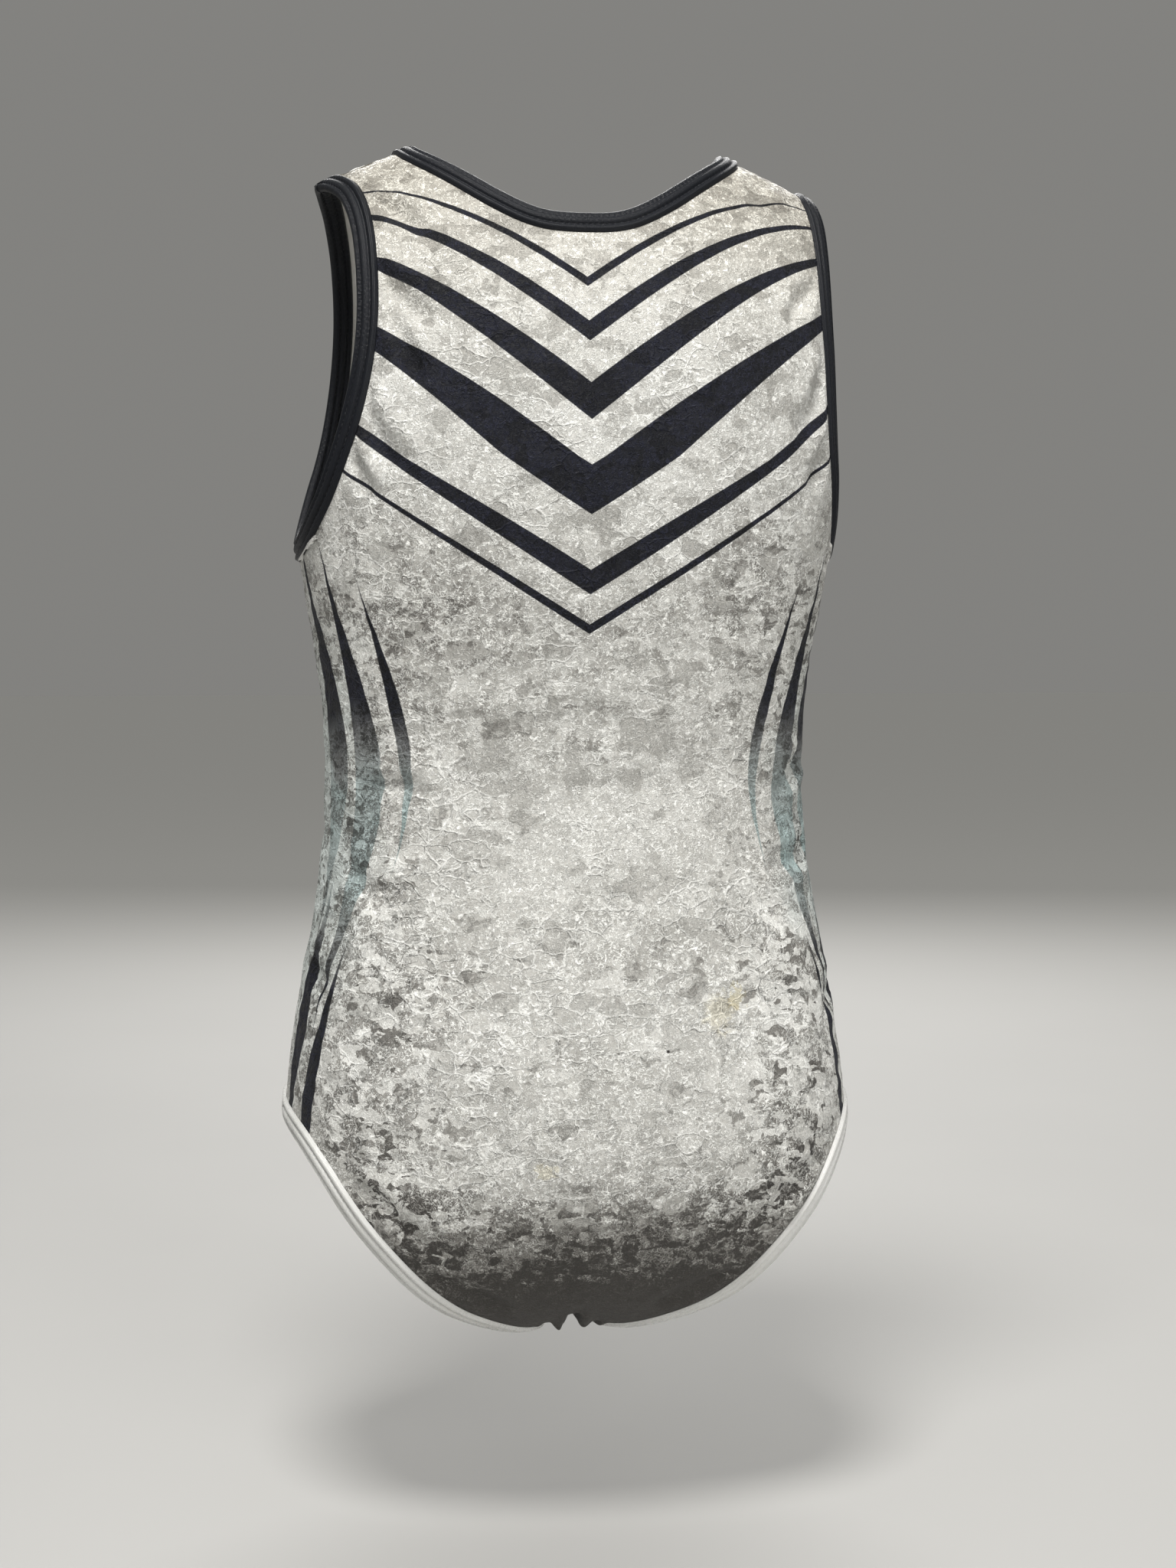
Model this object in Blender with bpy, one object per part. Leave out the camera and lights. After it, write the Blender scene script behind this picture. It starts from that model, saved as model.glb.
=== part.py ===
# Child's sleeveless leotard in crushed velvet, worn form, left hollow.
# Sizes are millimetres here and metres in the scene. +Z is up, the back faces +Y and the
# wearer's left is +X. The origin lies midway between the shoulder straps, at their crests.

import bpy
import bmesh
import numpy as np

# Driving sizes
CLOTH = 1.2             # velvet wall
STRIP_WALL = 1.0        # wall of the folded binding strip
STRIP_WIDTH = 9.5       # how far the binding reaches in from the free edge
SEAM_GAP = 0.3          # gap left between pieces that are sewn together
CHEST_DOWN = 125.0      # chest line, measured down the cloth from the shoulder level
SHOULDER_ARC = 165.0    # cloth from the chest line up to the shoulder crest
SEAM_BEHIND = 12.0      # the shoulder seam lies this far behind the crest
ROW_STEP = 45.0         # cloth between two rows of the body table
RIDGE_TOP = 19.0        # height the shoulder line would reach at the middle of the neck
RIDGE_FALL = 0.00253    # how fast the shoulder line falls with the square of the width
TRUNK_SQUARE = 0.03     # how square the level sections are
DOME_SQUARE = 0.02      # how full the shoulders are at the armhole
STRIP_SPREAD = 16.0     # half width of the crotch strip that the lift raises
INSET_PASSES = 4        # an edge is moved in over the curved form in this many steps

# Segments along each edge, from the seam or centre where it starts to where it ends
NECK_STEPS = {"back": 9, "front": 12}
WIDTH_STEPS = 9
ARMHOLE_STEPS = {"back": 15, "front": 18}
SIDE_STEPS = 11
LEG_STEPS = {"back": 19, "front": 19}

# The worn body form. One row every ROW_STEP of cloth, from the chest line to the crotch seam:
# height, half width, depth of the back, depth of the front, lift of the crotch strip's middle
BODY_ROWS = np.array((
    (-125.0, 119.0, 74.0, 74.0, 0.0),
    (-170.0, 113.5, 71.0, 76.0, 0.0),
    (-215.0, 106.0, 64.0, 74.5, 0.0),
    (-260.0, 103.5, 58.0, 72.5, 0.0),
    (-305.0, 107.5, 64.5, 73.5, 0.0),
    (-350.0, 115.5, 79.0, 76.0, 0.0),
    (-395.0, 121.5, 89.0, 76.0, 0.0),
    (-438.0, 120.5, 85.5, 68.0, 0.0),
    (-478.0, 100.0, 58.0, 44.0, 1.5),
    (-500.0, 62.0, 0.0, 0.0, 5.0),
))
KEEL_DOWN = CHEST_DOWN + ROW_STEP * (len(BODY_ROWS) - 1)
CREST_DOWN = CHEST_DOWN - SHOULDER_ARC
BACK_SEAM = CREST_DOWN + SEAM_BEHIND     # the shoulder seam, down the back panel
FRONT_SEAM = CREST_DOWN - SEAM_BEHIND    # and over the crest, down the front panel

# Free edges. Columns: turn round the body in degrees (0 at the middle of the back or front,
# 90 at the side), distance down the cloth, and how far the cloth is pulled round to the
# wearer's right in degrees.
EDGE_ROWS = {
    ("neck", "back"): (
        (0.0, 40.5, 0.0), (7.3, 38.5, 0.0), (14.0, 29.5, 0.0), (20.3, 16.0, 0.0),
        (25.6, 1.0, 0.0), (28.8, -13.0, 0.0), (30.0, BACK_SEAM, 0.0)),
    ("neck", "front"): (
        (0.0, 76.0, 0.0), (7.8, 73.0, 0.0), (15.5, 62.0, 0.0), (22.2, 43.0, 0.0),
        (27.2, 18.0, 0.0), (29.6, -10.0, 0.0), (30.3, -34.0, 0.0), (30.0, FRONT_SEAM, 0.0)),
    ("armhole", "back"): (
        (61.5, BACK_SEAM, 1.5), (59.5, -10.0, 3.5), (57.5, 12.0, 6.5), (56.0, 37.0, 8.0),
        (55.5, 66.0, 8.5), (56.5, 87.0, 8.5), (58.5, 105.0, 7.5), (62.0, 122.0, 6.0),
        (68.0, 139.0, 4.5), (78.0, 152.5, 2.0), (90.0, 157.0, 0.0)),
    ("armhole", "front"): (
        (61.5, FRONT_SEAM, 1.5), (61.5, -36.0, 1.0), (59.0, -12.0, 0.5), (55.0, 14.0, 0.0),
        (52.0, 42.0, 0.0), (51.0, 70.0, 0.0), (53.0, 96.0, 0.0), (58.0, 119.0, 0.0),
        (67.0, 139.5, 0.0), (78.0, 152.5, 0.0), (90.0, 157.0, 0.0)),
    ("leg", "back"): (
        (90.0, 404.5, 0.0), (79.0, 406.5, 0.0), (69.0, 411.5, 0.0), (60.5, 420.5, 0.0),
        (54.0, 432.0, 0.0), (48.5, 445.0, 0.0), (43.5, 458.0, 0.0), (39.0, 470.5, 0.0),
        (35.0, 481.0, 0.0), (31.0, 490.5, 0.0), (26.5, 500.0, 0.0), (21.5, 510.0, 0.0),
        (17.0, 520.0, 0.0), (15.5, KEEL_DOWN, 0.0)),
    ("leg", "front"): (
        (90.0, 404.5, 0.0), (80.0, 401.5, 0.0), (70.0, 402.5, 0.0), (61.0, 409.5, 0.0),
        (53.0, 421.5, 0.0), (46.5, 435.5, 0.0), (40.5, 450.0, 0.0), (35.0, 464.5, 0.0),
        (30.0, 478.5, 0.0), (25.5, 491.5, 0.0), (20.5, 505.5, 0.0), (16.5, 518.5, 0.0),
        (15.5, KEEL_DOWN, 0.0)),
}

FACES = {"back": 1.0, "front": -1.0}
SIDES = {"left": 1.0, "right": -1.0}

# The fold of a binding: it goes round the cloth's edge with SEAM_GAP between them
FOLD_RADIUS = CLOTH / 2 + SEAM_GAP + STRIP_WALL
FOLD_ANGLES = np.radians((90.0, 30.0, -30.0, -90.0))
FINE = 600              # points that an edge is measured on
CHART_STEP = 0.02       # small step in degrees or millimetres, for slopes on the form
CREST_CROWD = 1.3       # how much closer the points lie on the shoulder crest
CREST_REACH = 26.0
MERGE = 0.00002         # metres
MM = 0.001


def clear_scene():
    for item in list(bpy.data.objects):
        bpy.data.objects.remove(item, do_unlink=True)


def rounded(angle, square):
    """Across and out on a quarter section: a circle, squared up a little."""
    across = (np.sin(angle) + square * np.sin(3 * angle)) / (1 - square)
    out = (np.cos(angle) - square * np.cos(3 * angle)) / (1 - square)
    return across, out


def smooth_rows(rows, place):
    """Catmull-Rom curve through table rows that carry one spare row at each end."""
    index = np.clip(np.floor(place).astype(int), 0, len(rows) - 4)
    t = (place - index)[..., None]
    a, b, c, d = (rows[index + k] for k in range(4))
    bend = 2 * a - 5 * b + 4 * c - d
    return 0.5 * (2 * b + (c - a) * t + bend * t ** 2 + (3 * b - a - 3 * c + d) * t ** 3)


def body_section(down):
    """Height, half width, back depth, front depth and lift at a distance down the cloth."""
    above = BODY_ROWS[1].copy()
    above[0] = 2 * BODY_ROWS[0, 0] - BODY_ROWS[1, 0]
    beyond = BODY_ROWS[-2] * np.array((1, 1, -1, -1, 1))
    rows = np.vstack((above, BODY_ROWS, beyond))
    place = (np.maximum(down, CHEST_DOWN) - CHEST_DOWN) / ROW_STEP
    return np.moveaxis(smooth_rows(rows, place), -1, 0)


def form_point(face, turn, down):
    """Point of the cloth's outer surface on the wearer's left half, in millimetres."""
    turn, down = np.broadcast_arrays(np.asarray(turn, float), np.asarray(down, float))
    height, half_width, back_depth, front_depth, lift = body_section(down)
    across, deep = rounded(np.radians(turn), TRUNK_SQUARE)
    x = half_width * across
    climb = np.radians(np.maximum(CHEST_DOWN - down, 0.0) / SHOULDER_ARC * 90)
    fullness = DOME_SQUARE * (2 * across ** 2 - 1)
    up, out = rounded(climb, fullness)
    crest = RIDGE_TOP - RIDGE_FALL * x ** 2
    on_back = face * np.cos(climb) > 0
    y = face * np.where(on_back, back_depth, front_depth) * deep * out
    z = height + (crest + CHEST_DOWN) * up * (down < CHEST_DOWN)
    z = z + lift * np.exp(-(x / STRIP_SPREAD) ** 2)
    return np.stack((x, y, z), axis=-1)


def form_slopes(face, chart):
    """The surface's slopes along turn and down, and its outward normal."""
    turn, down = chart[:, 0], chart[:, 1]
    along_turn = form_point(face, turn + CHART_STEP, down) - form_point(face, turn - CHART_STEP, down)
    along_down = form_point(face, turn, down + CHART_STEP) - form_point(face, turn, down - CHART_STEP)
    normal = face * np.cross(along_turn, along_down)
    normal /= np.linalg.norm(normal, axis=1, keepdims=True)
    return along_turn / (2 * CHART_STEP), along_down / (2 * CHART_STEP), normal


def edge_chart(edge, face_name, side, steps):
    """Evenly spaced (turn, down) points along a free edge."""
    table = np.array(EDGE_ROWS[edge, face_name])
    table[:, 0] -= side * table[:, 2]
    rows = table[:, :2]
    before = 2 * rows[0] - rows[1]
    after = 2 * rows[-1] - rows[-2]
    if edge == "neck":
        before = rows[1] * (-1, 1)
    elif edge == "armhole":
        after[1] = rows[-2, 1]
    else:
        after[0] = rows[-2, 0]
    rows = np.vstack((before, rows, after))
    fine = smooth_rows(rows, np.linspace(0, len(table) - 1, FINE))
    points = form_point(FACES[face_name], fine[:, 0], fine[:, 1])
    crowd = 1 + CREST_CROWD * np.exp(-((fine[:, 1] - CREST_DOWN) / CREST_REACH) ** 2)
    lengths = np.linalg.norm(np.diff(points, axis=0), axis=1) * crowd[1:]
    travelled = np.concatenate(((0.0,), np.cumsum(lengths)))
    wanted = np.linspace(0, travelled[-1], steps + 1)
    return np.stack([np.interp(wanted, travelled, fine[:, k]) for k in range(2)], axis=1)


def inset_chart(edge, face_name, chart, distance, passes):
    """The edge moved in over the cloth, its ends kept on the seams they start from."""
    face = FACES[face_name]
    moved = chart.copy()
    for _ in range(passes):
        along_turn, along_down, normal = form_slopes(face, moved)
        points = form_point(face, moved[:, 0], moved[:, 1])
        tangent = np.gradient(points, axis=0)
        tangent /= np.linalg.norm(tangent, axis=1, keepdims=True)
        direction = -face * np.cross(tangent, normal) * (distance / passes)
        for k in range(len(moved)):
            slopes = np.stack((along_turn[k], along_down[k]), axis=1)
            moved[k] += np.linalg.lstsq(slopes, direction[k], rcond=None)[0]
        if edge == "neck":
            moved[0, 0] = 0.0
            moved[-1, 1] = chart[-1, 1]
        elif edge == "armhole":
            moved[0, 1] = chart[0, 1]
            moved[-1, 0] = 90.0
        else:
            moved[0, 0] = 90.0
            moved[-1, 1] = KEEL_DOWN
    return moved


def line_chart(start, end, steps):
    share = np.linspace(0, 1, steps + 1)[:, None]
    return start + (end - start) * share


def coons_chart(top, bottom, centre, side):
    """Fill between four edge lines, as grid[column, row]."""
    u = np.linspace(0, 1, len(top))[:, None, None]
    v = np.linspace(0, 1, len(side))[None, :, None]
    grid = (1 - v) * top[:, None] + v * bottom[:, None] + (1 - u) * centre[None] + u * side[None]
    corners = (1 - u) * (1 - v) * top[0] + u * (1 - v) * top[-1]
    corners = corners + (1 - u) * v * bottom[0] + u * v * bottom[-1]
    return grid - corners


def off_the_seam(face, chart, axis, sign):
    """Draw seam points back by half the gap."""
    step = np.zeros(2)
    step[axis] = CHART_STEP
    here = form_point(face, chart[..., 0], chart[..., 1])
    there = form_point(face, chart[..., 0] + step[0], chart[..., 1] + step[1])
    speed = np.linalg.norm(there - here, axis=-1) / CHART_STEP
    chart[..., axis] += sign * SEAM_GAP / 2 / speed


def side_lines(face_name, side):
    """The edges of one half panel and the same edges inset, as charts."""
    lines = {}
    for edge, counts in (("neck", NECK_STEPS), ("armhole", ARMHOLE_STEPS), ("leg", LEG_STEPS)):
        chart = edge_chart(edge, face_name, side, counts[face_name])
        lines[edge] = chart
        lines[edge, "cut"] = inset_chart(edge, face_name, chart, FOLD_RADIUS, 1)
        lines[edge, "inner"] = inset_chart(edge, face_name, chart, STRIP_WIDTH, INSET_PASSES)
    return lines


def meet_at_seams(back, front):
    """Give the back's and the front's inset edges the same ends on the seams they share."""
    ends = {"neck": ((-1, 0),), "armhole": ((0, 0), (-1, 1)), "leg": ((0, 1), (-1, 0))}
    for edge, places in ends.items():
        for kind in ("cut", "inner"):
            for place, axis in places:
                pair = back[edge, kind][place], front[edge, kind][place]
                shared = (pair[0][axis] + pair[1][axis]) / 2
                pair[0][axis] = shared
                pair[1][axis] = shared


def half_panel_charts(face_name, lines):
    """The grids of one half panel: yoke, trunk and the three margins under the bindings."""
    face = FACES[face_name]
    neck, armhole, leg = (lines[edge, "inner"] for edge in ("neck", "armhole", "leg"))
    shoulder_steps = len(neck) - 1
    side_seam = line_chart(armhole[-1], leg[0], SIDE_STEPS)
    shoulder = line_chart(neck[-1], armhole[0], WIDTH_STEPS)
    yoke_line = line_chart(neck[0], armhole[shoulder_steps], WIDTH_STEPS)
    yoke = coons_chart(shoulder, yoke_line, neck[::-1], armhole[:shoulder_steps + 1])
    side = np.vstack((armhole[shoulder_steps:], side_seam[1:], leg[1:]))
    crotch = line_chart(np.array((0.0, KEEL_DOWN)), leg[-1], WIDTH_STEPS)
    centre = line_chart(neck[0], crotch[0], len(side) - 1)
    trunk = coons_chart(yoke_line, crotch, centre, side)
    margins = {edge: np.stack((lines[edge, "cut"], lines[edge, "inner"]))
               for edge in ("neck", "armhole", "leg")}
    first_side = len(armhole) - 1 - shoulder_steps
    off_the_seam(face, yoke[:, 0], 1, 1)
    off_the_seam(face, trunk[:, -1], 1, -1)
    off_the_seam(face, trunk[-1, first_side:first_side + SIDE_STEPS + 1], 0, -1)
    off_the_seam(face, margins["neck"][:, -1], 1, 1)
    off_the_seam(face, margins["armhole"][:, 0], 1, 1)
    off_the_seam(face, margins["armhole"][:, -1], 0, -1)
    off_the_seam(face, margins["leg"][:, 0], 0, -1)
    off_the_seam(face, margins["leg"][:, -1], 1, -1)
    return [yoke, trunk] + list(margins.values())


def add_grid(bm, points, inside):
    """Add a sheet of quads at points[i, j]; each corner remembers the point behind it."""
    columns, rows = points.shape[:2]
    made = bmesh.ops.create_grid(bm, x_segments=columns - 1, y_segments=rows - 1, size=1.0)
    behind = bm.verts.layers.float_vector["behind"]
    for vert in made["verts"]:
        i = round((vert.co.x + 1) / 2 * (columns - 1))
        j = round((vert.co.y + 1) / 2 * (rows - 1))
        vert.co = points[i, j] * MM
        vert[behind] = inside[i, j] * MM


def close_wall(bm):
    """Give the sheet its inner side, at the points behind it, and a rim all round."""
    behind = bm.verts.layers.float_vector["behind"]
    rim = [edge for edge in bm.edges if edge.is_boundary]
    copy = bmesh.ops.duplicate(bm, geom=bm.verts[:] + bm.edges[:] + bm.faces[:])
    twin = copy["vert_map"]
    for vert in [item for item in copy["geom"] if isinstance(item, bmesh.types.BMVert)]:
        vert.co = vert[behind]
    for edge in rim:
        first, second = edge.verts
        bm.faces.new((first, second, twin[second], twin[first]))
    bmesh.ops.recalc_face_normals(bm, faces=bm.faces)
    # Split the bent quads by their shape, so that a binding and the panel under it agree.
    bmesh.ops.triangulate(bm, faces=bm.faces)


def new_piece(name, bm, material):
    mesh = bpy.data.meshes.new(name)
    bm.to_mesh(mesh)
    bm.free()
    mesh.shade_smooth()
    mesh.materials.append(material)
    piece = bpy.data.objects.new(name, mesh)
    leotard.objects.link(piece)


def make_panel(face_name, edges, material):
    bm = bmesh.new()
    bm.verts.layers.float_vector.new("behind")
    face = FACES[face_name]
    for side_name, side in SIDES.items():
        for chart in half_panel_charts(face_name, edges[face_name, side_name]):
            flat = chart.reshape(-1, 2)
            points = form_point(face, flat[:, 0], flat[:, 1])
            inside = points - form_slopes(face, flat)[2] * CLOTH
            mirror = np.array((side, 1, 1))
            shape = chart.shape[:2] + (3,)
            add_grid(bm, (points * mirror).reshape(shape), (inside * mirror).reshape(shape))
    bmesh.ops.remove_doubles(bm, verts=bm.verts, dist=MERGE)
    close_wall(bm)
    new_piece(face_name + "_panel", bm, material)


def fold_points(edge, face_name, side, lines):
    """The binding's outer and inner surface round the cloth's edge, as points[i, row]."""
    face = FACES[face_name]
    inner, cut = lines[edge, "inner"], lines[edge, "cut"]
    inner_at = form_point(face, inner[:, 0], inner[:, 1])
    cut_at = form_point(face, cut[:, 0], cut[:, 1])
    inner_normal = form_slopes(face, inner)[2]
    cut_normal = form_slopes(face, cut)[2]
    out = cut_at - inner_at
    out -= cut_normal * np.sum(out * cut_normal, axis=1, keepdims=True)
    out /= np.linalg.norm(out, axis=1, keepdims=True)
    middle = cut_at - cut_normal * CLOTH / 2
    surfaces = []
    for proud in (SEAM_GAP + STRIP_WALL, SEAM_GAP):
        rows = [inner_at + inner_normal * proud]
        for angle in FOLD_ANGLES:
            reach = np.cos(angle) * out + np.sin(angle) * cut_normal
            rows.append(middle + (CLOTH / 2 + proud) * reach)
        rows.append(inner_at - inner_normal * (CLOTH + proud))
        surfaces.append(np.stack(rows, axis=1) * np.array((side, 1, 1)))
    return surfaces


def make_binding(name, edge, runs, edges, material):
    """A closed ring; runs lists (face, side, backward) in the order that the ring goes."""
    bm = bmesh.new()
    bm.verts.layers.float_vector.new("behind")
    for face_name, side_name, backward in runs:
        outer, inner = fold_points(edge, face_name, SIDES[side_name], edges[face_name, side_name])
        step = -1 if backward else 1
        add_grid(bm, outer[::step], inner[::step])
    bmesh.ops.remove_doubles(bm, verts=bm.verts, dist=MERGE)
    close_wall(bm)
    new_piece(name, bm, material)


def make_material(name, colour, roughness):
    material = bpy.data.materials.new(name)
    material.use_nodes = True
    shader = material.node_tree.nodes["Principled BSDF"]
    shader.inputs["Base Color"].default_value = (*colour, 1.0)
    shader.inputs["Roughness"].default_value = roughness
    shader.inputs["Metallic"].default_value = 0.0
    return material


clear_scene()
leotard = bpy.data.collections.new("leotard")
bpy.context.scene.collection.children.link(leotard)
velvet = make_material("velvet", (0.72, 0.72, 0.69), 0.55)
dark_strip = make_material("dark_binding", (0.02, 0.022, 0.035), 0.35)
white_strip = make_material("white_binding", (0.78, 0.78, 0.77), 0.35)

edges = {(face_name, side_name): side_lines(face_name, side)
         for face_name in FACES for side_name, side in SIDES.items()}
for side_name in SIDES:
    meet_at_seams(edges["back", side_name], edges["front", side_name])
make_panel("back", edges, velvet)
make_panel("front", edges, velvet)
neck_run = (("back", "left", False), ("front", "left", True),
            ("front", "right", False), ("back", "right", True))
make_binding("neck_binding", "neck", neck_run, edges, dark_strip)
for side_name in SIDES:
    ring_run = (("back", side_name, False), ("front", side_name, True))
    make_binding("armhole_binding_" + side_name, "armhole", ring_run, edges, dark_strip)
    make_binding("leg_binding_" + side_name, "leg", ring_run, edges, white_strip)
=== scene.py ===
import math
import bpy
import numpy as np
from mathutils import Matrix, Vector, noise


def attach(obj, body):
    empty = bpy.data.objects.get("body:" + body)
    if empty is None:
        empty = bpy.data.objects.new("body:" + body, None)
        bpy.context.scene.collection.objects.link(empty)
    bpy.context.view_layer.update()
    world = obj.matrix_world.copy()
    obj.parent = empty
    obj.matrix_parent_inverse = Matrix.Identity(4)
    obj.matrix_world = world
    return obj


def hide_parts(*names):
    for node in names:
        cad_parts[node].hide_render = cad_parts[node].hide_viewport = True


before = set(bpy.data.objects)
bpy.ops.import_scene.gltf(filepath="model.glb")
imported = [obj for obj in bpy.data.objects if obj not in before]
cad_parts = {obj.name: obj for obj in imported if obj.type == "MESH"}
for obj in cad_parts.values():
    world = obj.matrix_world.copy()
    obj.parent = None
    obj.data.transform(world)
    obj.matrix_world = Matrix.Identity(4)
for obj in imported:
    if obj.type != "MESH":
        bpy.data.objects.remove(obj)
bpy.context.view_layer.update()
print("frame loaded,", len(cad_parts), "pieces")

# The worn form, in millimetres. One row per 45 mm of cloth, from the chest line to the crotch seam:
# height, half width, depth of the back, depth of the front, lift of the crotch strip's middle.
bodyForm = {
    "rows": ((-125.0, 119.0, 74.0, 74.0, 0.0), (-170.0, 113.5, 71.0, 76.0, 0.0),
             (-215.0, 106.0, 64.0, 74.5, 0.0), (-260.0, 103.5, 58.0, 72.5, 0.0),
             (-305.0, 107.5, 64.5, 73.5, 0.0), (-350.0, 115.5, 79.0, 76.0, 0.0),
             (-395.0, 121.5, 89.0, 76.0, 0.0), (-438.0, 120.5, 85.5, 68.0, 0.0),
             (-478.0, 100.0, 58.0, 44.0, 1.5), (-500.0, 62.0, 0.0, 0.0, 5.0)),
    "rowStep": 45.0,
    "chestDown": 125.0,       # chest line, measured down the cloth
    "shoulderArc": 165.0,     # cloth from the chest line to the shoulder crest
    "ridgeTop": 19.0,
    "ridgeFall": 0.00253,
    "trunkSquare": 0.03,
    "domeSquare": 0.02,
    "stripSpread": 16.0,
    "crestDown": -40.0,
    "keelDown": 530.0,
}

# Free edges: degrees round the body from the middle, millimetres down the cloth, and the
# degrees that the cloth is pulled round to the wearer's right.
edgeTables = {
    ("neck", "back"): ((0.0, 40.5, 0.0), (7.3, 38.5, 0.0), (14.0, 29.5, 0.0), (20.3, 16.0, 0.0),
                       (25.6, 1.0, 0.0), (28.8, -13.0, 0.0), (30.0, -28.0, 0.0)),
    ("neck", "front"): ((0.0, 76.0, 0.0), (7.8, 73.0, 0.0), (15.5, 62.0, 0.0), (22.2, 43.0, 0.0),
                        (27.2, 18.0, 0.0), (29.6, -10.0, 0.0), (30.3, -34.0, 0.0), (30.0, -52.0, 0.0)),
    ("armhole", "back"): ((61.5, -28.0, 1.5), (59.5, -10.0, 3.5), (57.5, 12.0, 6.5), (56.0, 37.0, 8.0),
                          (55.5, 66.0, 8.5), (56.5, 87.0, 8.5), (58.5, 105.0, 7.5), (62.0, 122.0, 6.0),
                          (68.0, 139.0, 4.5), (78.0, 152.5, 2.0), (90.0, 157.0, 0.0)),
    ("armhole", "front"): ((61.5, -52.0, 1.5), (61.5, -36.0, 1.0), (59.0, -12.0, 0.5), (55.0, 14.0, 0.0),
                           (52.0, 42.0, 0.0), (51.0, 70.0, 0.0), (53.0, 96.0, 0.0), (58.0, 119.0, 0.0),
                           (67.0, 139.5, 0.0), (78.0, 152.5, 0.0), (90.0, 157.0, 0.0)),
    ("leg", "back"): ((90.0, 404.5, 0.0), (79.0, 406.5, 0.0), (69.0, 411.5, 0.0), (60.5, 420.5, 0.0),
                      (54.0, 432.0, 0.0), (48.5, 445.0, 0.0), (43.5, 458.0, 0.0), (39.0, 470.5, 0.0),
                      (35.0, 481.0, 0.0), (31.0, 490.5, 0.0), (26.5, 500.0, 0.0), (21.5, 510.0, 0.0),
                      (17.0, 520.0, 0.0), (15.5, 530.0, 0.0)),
    ("leg", "front"): ((90.0, 404.5, 0.0), (80.0, 401.5, 0.0), (70.0, 402.5, 0.0), (61.0, 409.5, 0.0),
                       (53.0, 421.5, 0.0), (46.5, 435.5, 0.0), (40.5, 450.0, 0.0), (35.0, 464.5, 0.0),
                       (30.0, 478.5, 0.0), (25.5, 491.5, 0.0), (20.5, 505.5, 0.0), (16.5, 518.5, 0.0),
                       (15.5, 530.0, 0.0)),
}
faces = {"back": 1.0, "front": -1.0}
sides = {"left": 1.0, "right": -1.0}
mm = 0.001

# How the cloth panels are cut and how finely they are laid out
panels = {
    "wall": 1.1,
    "edgeInset": 1.9,
    "bindingReach": 9.5,
    "steps": {("neck", "back"): 54, ("neck", "front"): 72, ("armhole", "back"): 90,
              ("armhole", "front"): 108, ("leg", "back"): 114, ("leg", "front"): 114},
    "sideSteps": 66,
    "marginSteps": 4,
    # shares of the width, closer together beside the side seam
    "across": np.concatenate((np.linspace(0, 0.97, 68), (0.98, 0.9868, 0.992, 0.9965, 1.0))),
    "seamRoll": 0.85,         # how deep the cloth turns in at a seam
    "seamRollWidth": 1.7,
    "seamBehind": 12.0,       # the shoulder seam lies this far from the crest line
}


def rounded(angle, square):
    across = (np.sin(angle) + square * np.sin(3 * angle)) / (1 - square)
    out = (np.cos(angle) - square * np.cos(3 * angle)) / (1 - square)
    return across, out


def smoothRows(rows, place):
    index = np.clip(np.floor(place).astype(int), 0, len(rows) - 4)
    t = (place - index)[..., None]
    a, b, c, d = (rows[index + k] for k in range(4))
    bend = 2 * a - 5 * b + 4 * c - d
    return 0.5 * (2 * b + (c - a) * t + bend * t ** 2 + (3 * b - a - 3 * c + d) * t ** 3)


def bodySection(down):
    rows = np.array(bodyForm["rows"])
    above = rows[1].copy()
    above[0] = 2 * rows[0, 0] - rows[1, 0]
    beyond = rows[-2] * np.array((1, 1, -1, -1, 1))
    rows = np.vstack((above, rows, beyond))
    place = (np.maximum(down, bodyForm["chestDown"]) - bodyForm["chestDown"]) / bodyForm["rowStep"]
    return np.moveaxis(smoothRows(rows, place), -1, 0)


# Point of the cloth's outer face on the wearer's left half
def formPoint(face, turn, down):
    turn, down = np.broadcast_arrays(np.asarray(turn, float), np.asarray(down, float))
    height, halfWidth, backDepth, frontDepth, lift = bodySection(down)
    across, deep = rounded(np.radians(turn), bodyForm["trunkSquare"])
    x = halfWidth * across
    chest = bodyForm["chestDown"]
    climb = np.radians(np.maximum(chest - down, 0.0) / bodyForm["shoulderArc"] * 90)
    up, out = rounded(climb, bodyForm["domeSquare"] * (2 * across ** 2 - 1))
    crest = bodyForm["ridgeTop"] - bodyForm["ridgeFall"] * x ** 2
    onBack = face * np.cos(climb) > 0
    y = face * np.where(onBack, backDepth, frontDepth) * deep * out
    z = height + (crest + chest) * up * (down < chest)
    z = z + lift * np.exp(-(x / bodyForm["stripSpread"]) ** 2)
    return np.stack((x, y, z), axis=-1)


def formSlopes(face, turn, down, step=0.02):
    alongTurn = formPoint(face, turn + step, down) - formPoint(face, turn - step, down)
    alongDown = formPoint(face, turn, down + step) - formPoint(face, turn, down - step)
    normal = face * np.cross(alongTurn, alongDown)
    normal /= np.linalg.norm(normal, axis=-1, keepdims=True)
    return alongTurn / (2 * step), alongDown / (2 * step), normal


# Cloth from the middle line round to a point, along its level
def clothAcross(face, turn, down, pieces=20):
    shares = np.linspace(0, 1, pieces + 1)[:, None]
    points = formPoint(face, shares * np.ravel(turn)[None], np.ravel(down)[None] + 0 * shares)
    length = np.linalg.norm(np.diff(points, axis=0), axis=2).sum(0)
    return (length * np.sign(np.ravel(turn))).reshape(np.shape(turn))


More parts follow.
